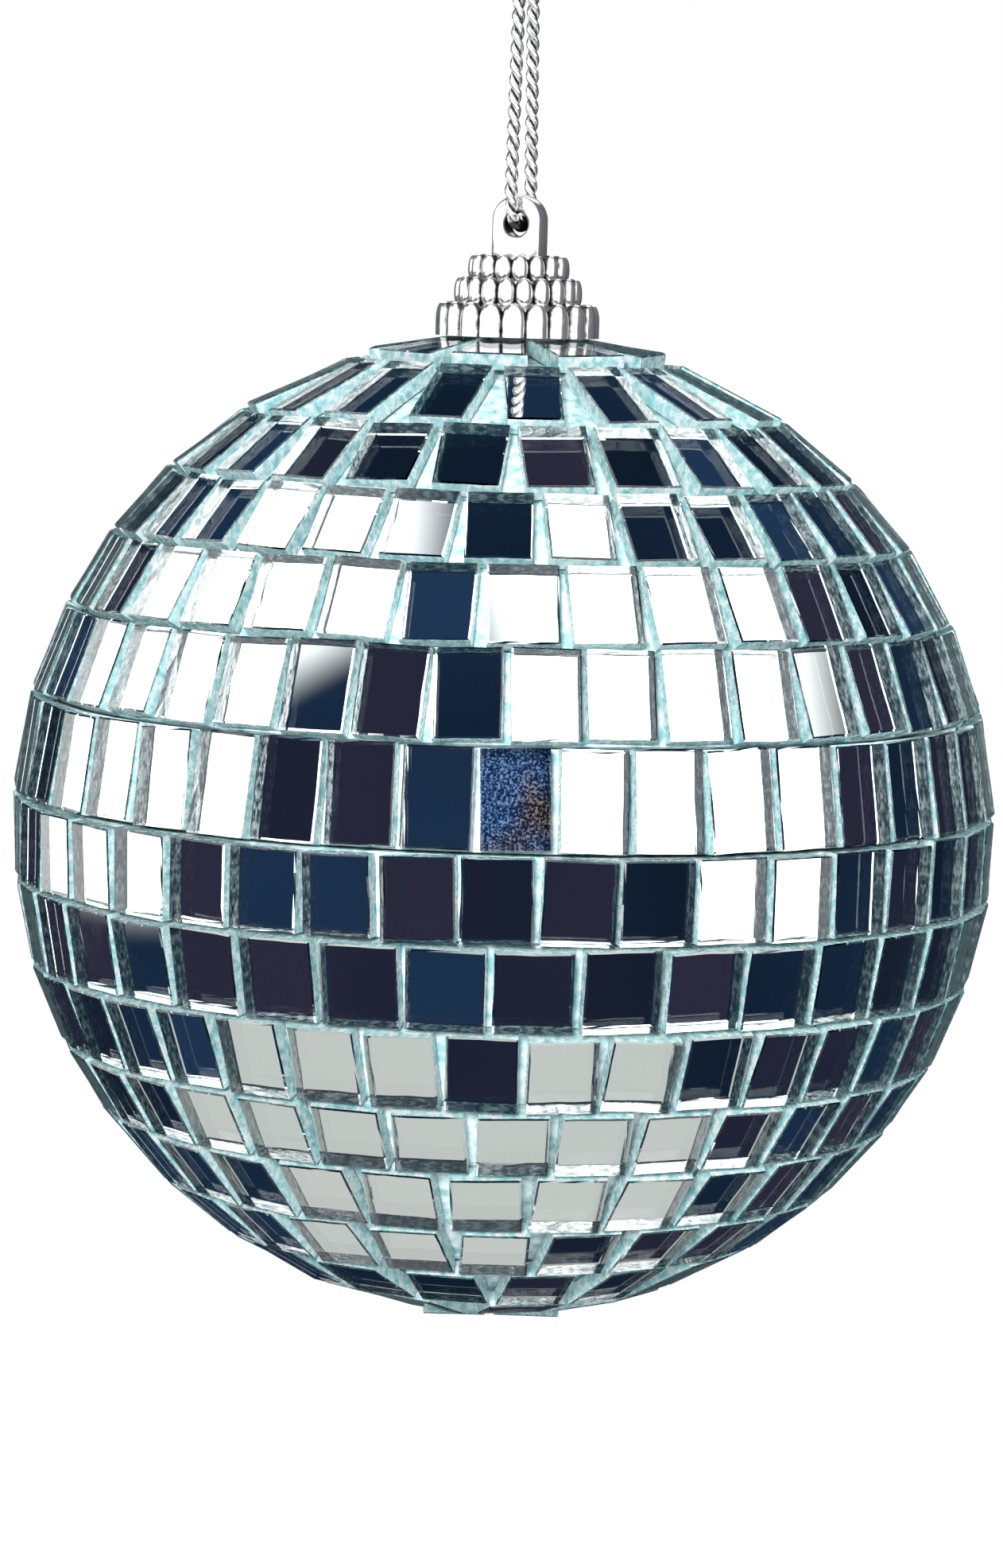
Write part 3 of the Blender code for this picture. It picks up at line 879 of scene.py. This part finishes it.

# %% [markdown]
# The film is white, but its colour is painted pale aqua for the light that reaches it through glass, so it
# shows as a pale aqua line at the bottom of the gaps. Glue and dust leave it mottled.

# %% Finish of the backing
film, tree, shader = start_material("white_adhesive_film")
film_mottle = grain(tree, 1500.0, 4.0, 0.35, 0.65)
# Painted light: the white film is tinted with the aqua of light that comes through glass; the mottle is glue
# and dust.
tree.links.new(
    ramp(tree, film_mottle, (0.0, (0.30, 0.55, 0.57)), (0.5, (0.62, 0.80, 0.81)), (1.0, (0.88, 0.95, 0.95))),
    shader.inputs["Base Color"],
)
tree.links.new(between(tree, film_mottle, 0.25, 0.5), shader.inputs["Roughness"])
backing.data.materials.append(film)
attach(backing, "ball")
print("made", film.name)

# %% [markdown]
# The core and the glue are right as CAD solids, and almost hidden. They keep their meshes and get finishes of
# their own: moulded foam shows the borders of its beads, and hot-melt glue is cloudy.


# %% Foam and glue
def refinish(node, material):
    slots = frame["nodes"][node].data.materials
    slots.clear()
    slots.append(material)


foam, tree, shader = start_material("white_foam", Roughness=0.85)
where = add_node(tree, "ShaderNodeTexCoord").outputs["Object"]
beads = add_node(
    tree, "ShaderNodeTexVoronoi", {"Vector": where, "Scale": 420.0}, feature="DISTANCE_TO_EDGE"
).outputs[0]
foam_white = ramp(tree, beads, (0.0, (0.70, 0.70, 0.68)), (0.12, (0.92, 0.92, 0.90)))
tree.links.new(foam_white, shader.inputs["Base Color"])
add_relief(tree, shader, beads, 0.6, 0.2 * MM)
refinish("foam_core", foam)

glue, tree, shader = start_material("hot_melt_glue", Subsurface_Weight=0.3)
clouds = grain(tree, 700.0, 3.0)
milky = ramp(tree, clouds, (0.0, (0.70, 0.70, 0.64)), (1.0, (0.88, 0.87, 0.82)))
tree.links.new(milky, shader.inputs["Base Color"])
tree.links.new(between(tree, clouds, 0.25, 0.45), shader.inputs["Roughness"])
refinish("cap_glue_ring", glue)
print("refinished foam_core and cap_glue_ring")

# %% [markdown]
# ## Cap
#
# The cap is one silver moulding: three tiers of puffed petals, each tier turned half a petal from the one
# below, and a flat tab with an eyelet. A petal is modelled once as a small pillow, and a tree sets it round
# each tier. The `groove` attribute grows from a petal's middle to its rim, so that the finish can paint shade
# into the grooves.

# %% One petal
PETAL_ROWS = 12
PETAL_COLUMNS = 10
PETAL_ROOT = -0.35
PETAL_SWELL = 0.6
PETAL_PUFF = 0.55
TIP_WIDTH = 0.02


def petal_blank(name, arch, tuck):
    """A pillow one unit wide, high and deep; arch and tuck are the rounded shares of its top and foot."""
    bm = bmesh.new()
    groove = bm.verts.layers.float.new("groove")
    grid = []
    for level in range(PETAL_ROWS + 1):
        up = (1 - math.cos(math.pi * level / PETAL_ROWS)) / 2
        half = 1.0
        swell = 1.0
        for share, inward in ((arch, up - (1 - arch)), (tuck, tuck - up)):
            if share and inward > 0:
                half = math.sqrt(max(1 - (inward / share) ** 2, TIP_WIDTH ** 2))
                swell = half ** PETAL_SWELL
        line = []
        for column in range(PETAL_COLUMNS + 1):
            across = -math.cos(math.pi * column / PETAL_COLUMNS)
            depth = swell * (1 - across ** 2) ** PETAL_PUFF
            vert = bm.verts.new((across * half / 2, depth, up))
            vert[groove] = max(abs(across), 1 - swell)
            line.append(vert)
        grid.append(line)
    for low, high in zip(grid, grid[1:]):
        for i in range(PETAL_COLUMNS):
            bm.faces.new((low[i], low[i + 1], high[i + 1], high[i]))
    rim = [e for e in bm.edges if e.is_boundary]
    made = bmesh.ops.extrude_edge_only(bm, edges=rim)["geom"]
    for vert in made:
        if isinstance(vert, bmesh.types.BMVert):
            vert.co.y = PETAL_ROOT
            vert[groove] = 1.0
    bmesh.ops.holes_fill(bm, edges=[e for e in bm.edges if e.is_boundary])
    bmesh.ops.recalc_face_normals(bm, faces=bm.faces)
    return mesh_from(bm, name)


print("the front of a petal has", PETAL_ROWS * PETAL_COLUMNS, "faces")

# %% [markdown]
# A tier is a ring of petals at one height. The tree puts a point for each petal on a circle, turns the blank
# outwards there and scales it, so a tier needs only its own few numbers.

# %% Tree that sets petals round a tier
tier_tree, given = start_tree("petal_tier", (
    ("Petals", "Int"), ("Half Turn", "Float"), ("Radius", "Float"), ("Foot", "Float"),
    ("Petal Size", "Vector"), ("Silver", "Material"),
))
petal_index = add_node(tier_tree, "GeometryNodeInputIndex").outputs[0]
petal_turn = calc(tier_tree, "DIVIDE", calc(tier_tree, "ADD", petal_index, given["Half Turn"]), given["Petals"])
petal_turn = calc(tier_tree, "MULTIPLY", petal_turn, 2 * math.pi)
petal_places = add_node(tier_tree, "GeometryNodePoints", {
    "Count": given["Petals"],
    "Position": add_node(tier_tree, "ShaderNodeCombineXYZ", {
        0: calc(tier_tree, "MULTIPLY", calc(tier_tree, "COSINE", petal_turn), given["Radius"]),
        1: calc(tier_tree, "MULTIPLY", calc(tier_tree, "SINE", petal_turn), given["Radius"]),
        2: given["Foot"],
    }).outputs[0],
}).outputs[0]
facing = add_node(tier_tree, "ShaderNodeCombineXYZ", {2: calc(tier_tree, "SUBTRACT", petal_turn, math.pi / 2)})
petals = add_node(tier_tree, "GeometryNodeInstanceOnPoints", {
    "Points": petal_places, "Instance": given["Geometry"], "Rotation": facing.outputs[0],
    "Scale": given["Petal Size"],
}).outputs[0]
petals = realize(tier_tree, petals)
petals = add_node(
    tier_tree, "GeometryNodeSetMaterial", {"Geometry": petals, "Material": given["Silver"]}
).outputs[0]
end_tree(tier_tree, petals)
print("petal tree has", len(tier_tree.nodes), "nodes")

# %% [markdown]
# The moulding is metallised plastic: bright and a little milky, not a hard chrome. Its grooves are painted
# darker as shade.

# %% Silver finish of the cap
cap_silver, tree, shader = start_material("silver_moulding", Metallic=0.92)
flecks = grain(tree, 2400.0)
# Painted shade: the rims of the petals and the eyelet wall are painted dark, with flecks of the silver's own
# tone.
groove_shade_and_flecks = calc(tree, "ADD", attribute(tree, "groove"), between(tree, flecks, -0.06, 0.06))
shaded_flecked_silver = ramp(tree, groove_shade_and_flecks, (0.74, (0.80, 0.80, 0.79)), (0.90, (0.05, 0.05, 0.055)))
tree.links.new(shaded_flecked_silver, shader.inputs["Base Color"])
tree.links.new(between(tree, flecks, 0.15, 0.25), shader.inputs["Roughness"])
print("made", cap_silver.name)

# %% [markdown]
# From the foot up, each tier is smaller than the one below. The lowest stands on the tiles, so its petals have
# a square foot; the feet of the others are rounded like their tops. The table gives each tier's radius, foot
# and top in millimetres, and its number of petals.

# %% Petals of the cap
CAP_FOOT = 25.3 * MM
CAP_TIERS = ((4.2, 25.12, 26.85, 20), (3.3, 26.6, 28.15, 20), (2.6, 27.9, 29.3, 16))
PETAL_DEPTH = 0.5 * MM
PETAL_OVERLAP = 1.06
PETAL_ARCH = 0.5
PETAL_TUCK = 0.4

cap_meshes = []
for tier, (radius, foot, top, count) in enumerate(CAP_TIERS):
    ring_radius = radius * MM - PETAL_DEPTH
    width = 2 * math.pi * (radius * MM - PETAL_DEPTH / 2) / count * PETAL_OVERLAP
    blank_petal = petal_blank(f"petal_{tier}", PETAL_ARCH, 0.0 if tier == 0 else PETAL_TUCK)
    petals = run_tree(f"petals_{tier}", blank_petal, tier_tree, **{
        "Petals": count, "Half Turn": 0.5 * (tier % 2), "Radius": ring_radius, "Foot": foot * MM - HOOK_SEAT,
        "Petal Size": (width, PETAL_DEPTH, (top - foot) * MM), "Silver": cap_silver,
    })
    cap_meshes.append(petals.data)
    bpy.data.objects.remove(petals, do_unlink=True)
print("made", len(cap_meshes), "tiers of petals")

# %% [markdown]
# Behind the petals is the solid of the moulding: a stepped core, and under it a peg that is glued into the
# foam. Both are round, so one outline is turned about the axis.

# %% Core and peg
PEG_RADIUS = 1.5 * MM
PEG_TIP_RADIUS = 1.2 * MM
PEG_END = 17.0 * MM
PEG_TAPER = 0.4 * MM
CORE_INSET = 0.35 * MM
CORE_SHOULDER = 0.15 * MM
CORE_SIDES = 40

core_profile = [(PEG_TIP_RADIUS, PEG_END), (PEG_RADIUS, PEG_END + PEG_TAPER), (PEG_RADIUS, CAP_FOOT)]
for radius, foot, top, _ in CAP_TIERS:
    inner = radius * MM - CORE_INSET - PETAL_DEPTH / 2
    core_profile += [
        (inner, max(foot * MM, core_profile[-1][1])),
        (inner, top * MM - CORE_INSET),
        (inner - CORE_SHOULDER, top * MM - CORE_INSET + CORE_SHOULDER),
    ]
bm = bmesh.new()
core_angles = [2 * math.pi * i / CORE_SIDES for i in range(CORE_SIDES)]
core_rings = []
for radius, height in core_profile:
    core_rings.append([
        bm.verts.new(from_centre(radius * math.cos(angle), radius * math.sin(angle), height))
        for angle in core_angles
    ])
for low, high in zip(core_rings, core_rings[1:]):
    for i in range(CORE_SIDES):
        j = (i + 1) % CORE_SIDES
        bm.faces.new((low[i], low[j], high[j], high[i]))
bm.faces.new(list(reversed(core_rings[0])))
bm.faces.new(core_rings[-1])
bmesh.ops.recalc_face_normals(bm, faces=bm.faces)
cap_meshes.append(mesh_from(bm, "cap_core"))
print("core and peg have", len(core_rings), "rings")

# %% [markdown]
# The tab is a flat plate with a round top, a hole and rounded edges. A filled flat curve with a bevel gives all
# of that from two outlines, which is simpler than cutting a hole in a mesh.

# %% Tab with its eyelet
EYELET = 30.85 * MM
EYELET_RADIUS = 0.62 * MM
TAB_WIDTH = 2.65 * MM
TAB_TOP = 32.35 * MM
TAB_FOOT = 28.9 * MM
TAB_THICKNESS = 1.4 * MM
TAB_EDGE = 0.24 * MM
ARCH_STEPS = 24
EYELET_STEPS = 32

tab_curve = bpy.data.curves.new("cap_tab", "CURVE")
tab_curve.dimensions = "2D"
tab_curve.fill_mode = "BOTH"
tab_curve.extrude = TAB_THICKNESS / 2 - TAB_EDGE
tab_curve.bevel_depth = TAB_EDGE
tab_curve.bevel_resolution = 3
tab_curve.offset = -TAB_EDGE
half = TAB_WIDTH / 2
arch_centre = TAB_TOP - half - EYELET
tab_outline = [(-half, TAB_FOOT - EYELET), (half, TAB_FOOT - EYELET)]
for step in range(ARCH_STEPS + 1):
    angle = math.pi * step / ARCH_STEPS
    tab_outline.append((half * math.cos(angle), arch_centre + half * math.sin(angle)))
eyelet_angles = [-2 * math.pi * step / EYELET_STEPS for step in range(EYELET_STEPS)]
eyelet_outline = [(EYELET_RADIUS * math.cos(angle), EYELET_RADIUS * math.sin(angle)) for angle in eyelet_angles]
for outline in (tab_outline, eyelet_outline):
    spline = tab_curve.splines.new("POLY")
    spline.points.add(len(outline) - 1)
    for point, (x, y) in zip(spline.points, outline):
        point.co = (x, y, 0, 1)
    spline.use_cyclic_u = True
tab_worker = bpy.data.objects.new("cap_tab", tab_curve)
scene.collection.objects.link(tab_worker)
bpy.context.view_layer.update()
tab_mesh = bpy.data.meshes.new_from_object(tab_worker.evaluated_get(bpy.context.evaluated_depsgraph_get()))
bpy.data.objects.remove(tab_worker, do_unlink=True)
tab_mesh.transform(Matrix.Translation(from_centre(0, 0, EYELET)) @ Matrix.Rotation(math.radians(90), 4, "X"))
cap_meshes.append(tab_mesh)
print("tab has", len(tab_mesh.polygons), "faces")

# %% [markdown]
# The moulding is one piece, so its meshes are joined. The wall of the eyelet gets the highest `groove` value,
# which paints it dark as shade and makes the hole look as deep as it is.

# %% Join the cap
MERGE_DISTANCE = 0.0005 * MM
WALL_MARGIN = 0.02 * MM
CREASE_ANGLE = math.radians(40)

bm = bmesh.new()
for mesh in cap_meshes:
    bm.from_mesh(mesh)
bmesh.ops.remove_doubles(bm, verts=bm.verts, dist=MERGE_DISTANCE)
groove_layer = bm.verts.layers.float["groove"]
eyelet_middle = from_centre(0, 0, EYELET)
# Painted shade: the eyelet wall takes the darkest painted shade.
for vert in bm.verts:
    from_middle = math.hypot(vert.co.x, vert.co.z - eyelet_middle.z)
    if from_middle < EYELET_RADIUS + WALL_MARGIN and abs(vert.co.y) < TAB_THICKNESS:
        vert[groove_layer] = 1.0
for face in bm.faces:
    face.smooth = True
cap = link_piece("silver_cap", mesh_from(bm, "silver_cap"))
cap.data.materials.clear()
cap.data.materials.append(cap_silver)
cap.data.set_sharp_from_angle(angle=CREASE_ANGLE)
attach(cap, "ball")
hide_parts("cap")
print("cap has", len(cap.data.polygons), "faces")

# %% [markdown]
# ## Light
#
# A mirror shows the room, so lighting it means choosing what it reflects. The tiles want a few large panels in
# a dark room: each then shows either a panel or the dark. The silver cap and cord would look flat in that light
# and get lights of their own, so the pieces are sorted into two collections.

# %% Sort the pieces by the light they take
silver_pieces = bpy.data.collections.new("silver_pieces")
mirrored_pieces = bpy.data.collections.new("mirrored_pieces")
for piece in bpy.data.objects:
    if piece.type == "MESH":
        (silver_pieces if piece in (cap, cord, knot) else mirrored_pieces).objects.link(piece)

# %% [markdown]
# What counts is where a light appears in the tiles, so each is placed by angles as the camera sees them: so
# many degrees to the right of the camera and above it. A softbox is a glowing panel that fades at its edges.
# The camera doesn't see it and matt surfaces aren't lit by it, because it is there only to be reflected.

# %% Softbox
PANEL_DISTANCE = 1.0
SQUARE = ((-1, -1), (1, -1), (1, 1), (-1, 1))


def camera_panel(azimuth, elevation, roll):
    """The axes of a panel that faces the ball, placed by angles as the camera sees them."""
    azimuth, elevation = math.radians(azimuth), math.radians(elevation)
    out = Vector((
        math.sin(azimuth) * math.cos(elevation), math.sin(elevation), math.cos(azimuth) * math.cos(elevation)
    ))
    across = Vector((0, 1, 0)).cross(out).normalized()
    up = out.cross(across)
    turn = Matrix.Rotation(math.radians(roll), 3, out)
    to_world = Matrix((image_right, image_up, to_camera)).transposed()
    return to_world @ (turn @ across), to_world @ (turn @ up), to_world @ out


def softbox(name, azimuth, elevation, roll, half_width, half_height, strength, color=(1, 1, 1), edge=0.07):
    """A glowing panel that faces the ball, with soft edges; its half sizes are in metres."""
    across, up, out = camera_panel(azimuth, elevation, roll)
    bm = bmesh.new()
    uv = bm.loops.layers.uv.new("UV")
    centre = BALL_CENTRE + out * PANEL_DISTANCE
    corners = [centre + across * (x * half_width) + up * (y * half_height) for x, y in SQUARE]
    face = bm.faces.new([bm.verts.new(corner) for corner in corners])
    for loop, (x, y) in zip(face.loops, SQUARE):
        loop[uv].uv = (x, y)
    panel = link_piece(name, mesh_from(bm, name))
    panel.visible_camera = False
    panel.visible_shadow = False
    panel.visible_diffuse = False
    panel.light_linking.receiver_collection = mirrored_pieces
    material = bpy.data.materials.new(name)
    material.use_nodes = True
    tree = material.node_tree
    tree.nodes.clear()
    panel_place = add_node(tree, "ShaderNodeTexCoord").outputs["UV"]
    from_middle = add_node(tree, "ShaderNodeSeparateXYZ", {0: panel_place}).outputs
    fade = [
        add_node(tree, "ShaderNodeMapRange", {
            "Value": calc(tree, "ABSOLUTE", from_middle[axis]), "From Min": 1.0, "From Max": 1.0 - edge,
        }, interpolation_type="SMOOTHSTEP").outputs[0]
        for axis in (0, 1)
    ]
    glow = add_node(tree, "ShaderNodeEmission", {"Color": (*color, 1), "Strength": strength}).outputs[0]
    clear = add_node(tree, "ShaderNodeBsdfTransparent").outputs[0]
    cover = calc(tree, "MULTIPLY", *fade)
    shown = add_node(tree, "ShaderNodeMixShader", {0: cover, 1: clear, 2: glow}).outputs[0]
    add_node(tree, "ShaderNodeOutputMaterial", {"Surface": shown})
    panel.data.materials.append(material)
    return panel


# %% [markdown]
# Two large softboxes left and right give the white tiles, and a small one above catches a few tiles near the
# cap. A pale card below gives the grey tiles of the lower rows, and a faint aqua one behind the ball keeps the
# outermost tiles from going black.

# %% Place the panels
PANELS = (
    softbox("left_softbox", -88.8, 25.7, -35.5, 0.55, 1.13, 3.0),
    softbox("right_softbox", 49.4, 20.8, -3.9, 0.73, 0.79, 3.0),
    softbox("top_softbox", 45, 68, 0, 0.18, 0.18, 3.0),
    softbox("back_card", 180, 5, 0, 0.6, 0.35, 0.12, (0.6, 0.92, 1.0)),
    softbox("low_card", -97.9, -84.0, 12.0, 0.61, 1.0, 0.62, (0.99, 1.0, 0.97)),
)
print("placed", len(PANELS), "panels")

# %% [markdown]
# The dark part of the room isn't one colour. It drifts from plum through near-black to navy, and the dark tiles
# show that. Only the camera sees a white background: Light Path tells its rays from the reflected ones.

# %% World
WHITE = (1, 1, 1, 1)

world = bpy.data.worlds.new("studio")
scene.world = world
world.use_nodes = True
tree = world.node_tree
room_noise = add_node(tree, "ShaderNodeTexNoise", {
    "Vector": add_node(tree, "ShaderNodeTexCoord").outputs["Generated"], "Scale": 2.2, "Detail": 1.0,
}).outputs["Fac"]
room = ramp(
    tree, room_noise,
    (0.36, (0.028, 0.025, 0.052)), (0.5, (0.005, 0.012, 0.027)), (0.66, (0.016, 0.040, 0.096)),
)
seen = add_node(tree, "ShaderNodeLightPath").outputs["Is Camera Ray"]
tree.links.new(mix_colors(tree, seen, room, WHITE), tree.nodes["Background"].inputs["Color"])
print("made the room,", len(tree.nodes), "nodes")

# %% [markdown]
# The frosted edges, the film and the glue are matt, so they need light that falls on them. Area lights give it,
# one from the front, one from the right and one from behind, and mirrors are kept from seeing them.

# %% Fill lights
FILL_DISTANCE = 0.5
FILL_SIZE = 0.12


def fill_light(name, azimuth, elevation, energy, size=FILL_SIZE):
    """A soft light that matt surfaces see and mirrors don't."""
    light = bpy.data.lights.new(name, "AREA")
    light.energy = energy
    light.size = size
    lamp = link_piece(name, light)
    across, up, out = camera_panel(azimuth, elevation, 0)
    turn = Matrix((across, up, out)).transposed().to_4x4()
    lamp.matrix_world = Matrix.Translation(BALL_CENTRE + out * FILL_DISTANCE) @ turn
    lamp.visible_glossy = False
    lamp.visible_transmission = False
    return lamp


FILL_LIGHTS = (
    fill_light("front_fill", -9, 12, 3.8),
    fill_light("right_fill", 60, 20, 1.6),
    fill_light("back_fill", 180, 0, 3.8),
)
print("placed", len(FILL_LIGHTS), "fill lights")

# %% [markdown]
# The cap and the cord reflect one broad light in front and a narrow one on their left. Past those they reflect
# the dark room, and that draws the thin dark outline which bright silver has. A third light is for the back.

# %% Key lights for the silver pieces
SILVER_KEYS = (
    ("silver_key", -3, 16, 34.0, 2.4),
    ("left_silver_key", -90, 16, 0.75, 0.36),
    ("back_silver_key", 180, 50, 1.0, 0.4),
)

for name, azimuth, elevation, energy, size in SILVER_KEYS:
    key = fill_light(name, azimuth, elevation, energy, size)
    key.visible_glossy = True
    key.light_linking.receiver_collection = silver_pieces
print("placed", len(SILVER_KEYS), "silver keys")

# %% [markdown]
# The ball hangs well above a plain pale floor, which is bright enough to fade into the white background.

# %% Floor
FLOOR_DROP = 0.9
FLOOR_REACH = 9

floor_z = -HOOK_SEAT - FLOOR_DROP
floor_mesh = bpy.data.meshes.new("floor")
floor_mesh.from_pydata([(x * FLOOR_REACH, y * FLOOR_REACH, floor_z) for x, y in SQUARE], [], [(0, 1, 2, 3)])
floor = link_piece("floor", floor_mesh)
floor.visible_glossy = False
floor.visible_transmission = False
floor_finish, tree, shader = start_material("pale_floor", Roughness=0.7, Emission_Strength=1.06)
floor_white = ramp(tree, grain(tree, 30.0), (0.0, (0.94, 0.94, 0.94)), (1.0, (1.0, 1.0, 1.0)))
for socket in ("Base Color", "Emission Color"):
    tree.links.new(floor_white, shader.inputs[socket])
floor_mesh.materials.append(floor_finish)
scene.view_settings.view_transform = "Standard"
print("floor is", FLOOR_DROP, "m below the ball's centre")
